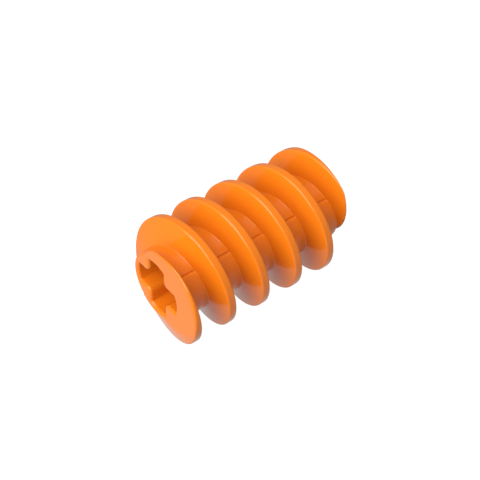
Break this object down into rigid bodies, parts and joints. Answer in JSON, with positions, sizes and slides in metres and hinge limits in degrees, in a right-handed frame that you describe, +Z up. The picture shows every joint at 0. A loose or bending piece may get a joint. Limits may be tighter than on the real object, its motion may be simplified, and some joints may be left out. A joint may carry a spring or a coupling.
{
  "type": "worm gear",
  "caption": "One-piece moulded plastic worm with a single right-hand helical thread on a round core, and a cross-shaped axle hole along its axis.",
  "frame": {"origin": "middle of the worm on the axis of its cross hole", "axes": "+X along the worm's axis from the start face, where the thread's start is cut back to a flat, to the end face; +Z up in line with one arm of the cross hole, and Y in line with the other arm"},
  "size_m": [0.0154, 0.0098, 0.0098],
  "materials": {
    "worm_plastic": "smooth injection-moulded orange plastic with a soft gloss"
  },
  "bodies": {
    "root": {"worm": "worm_plastic"}
  },
  "joints": []
}
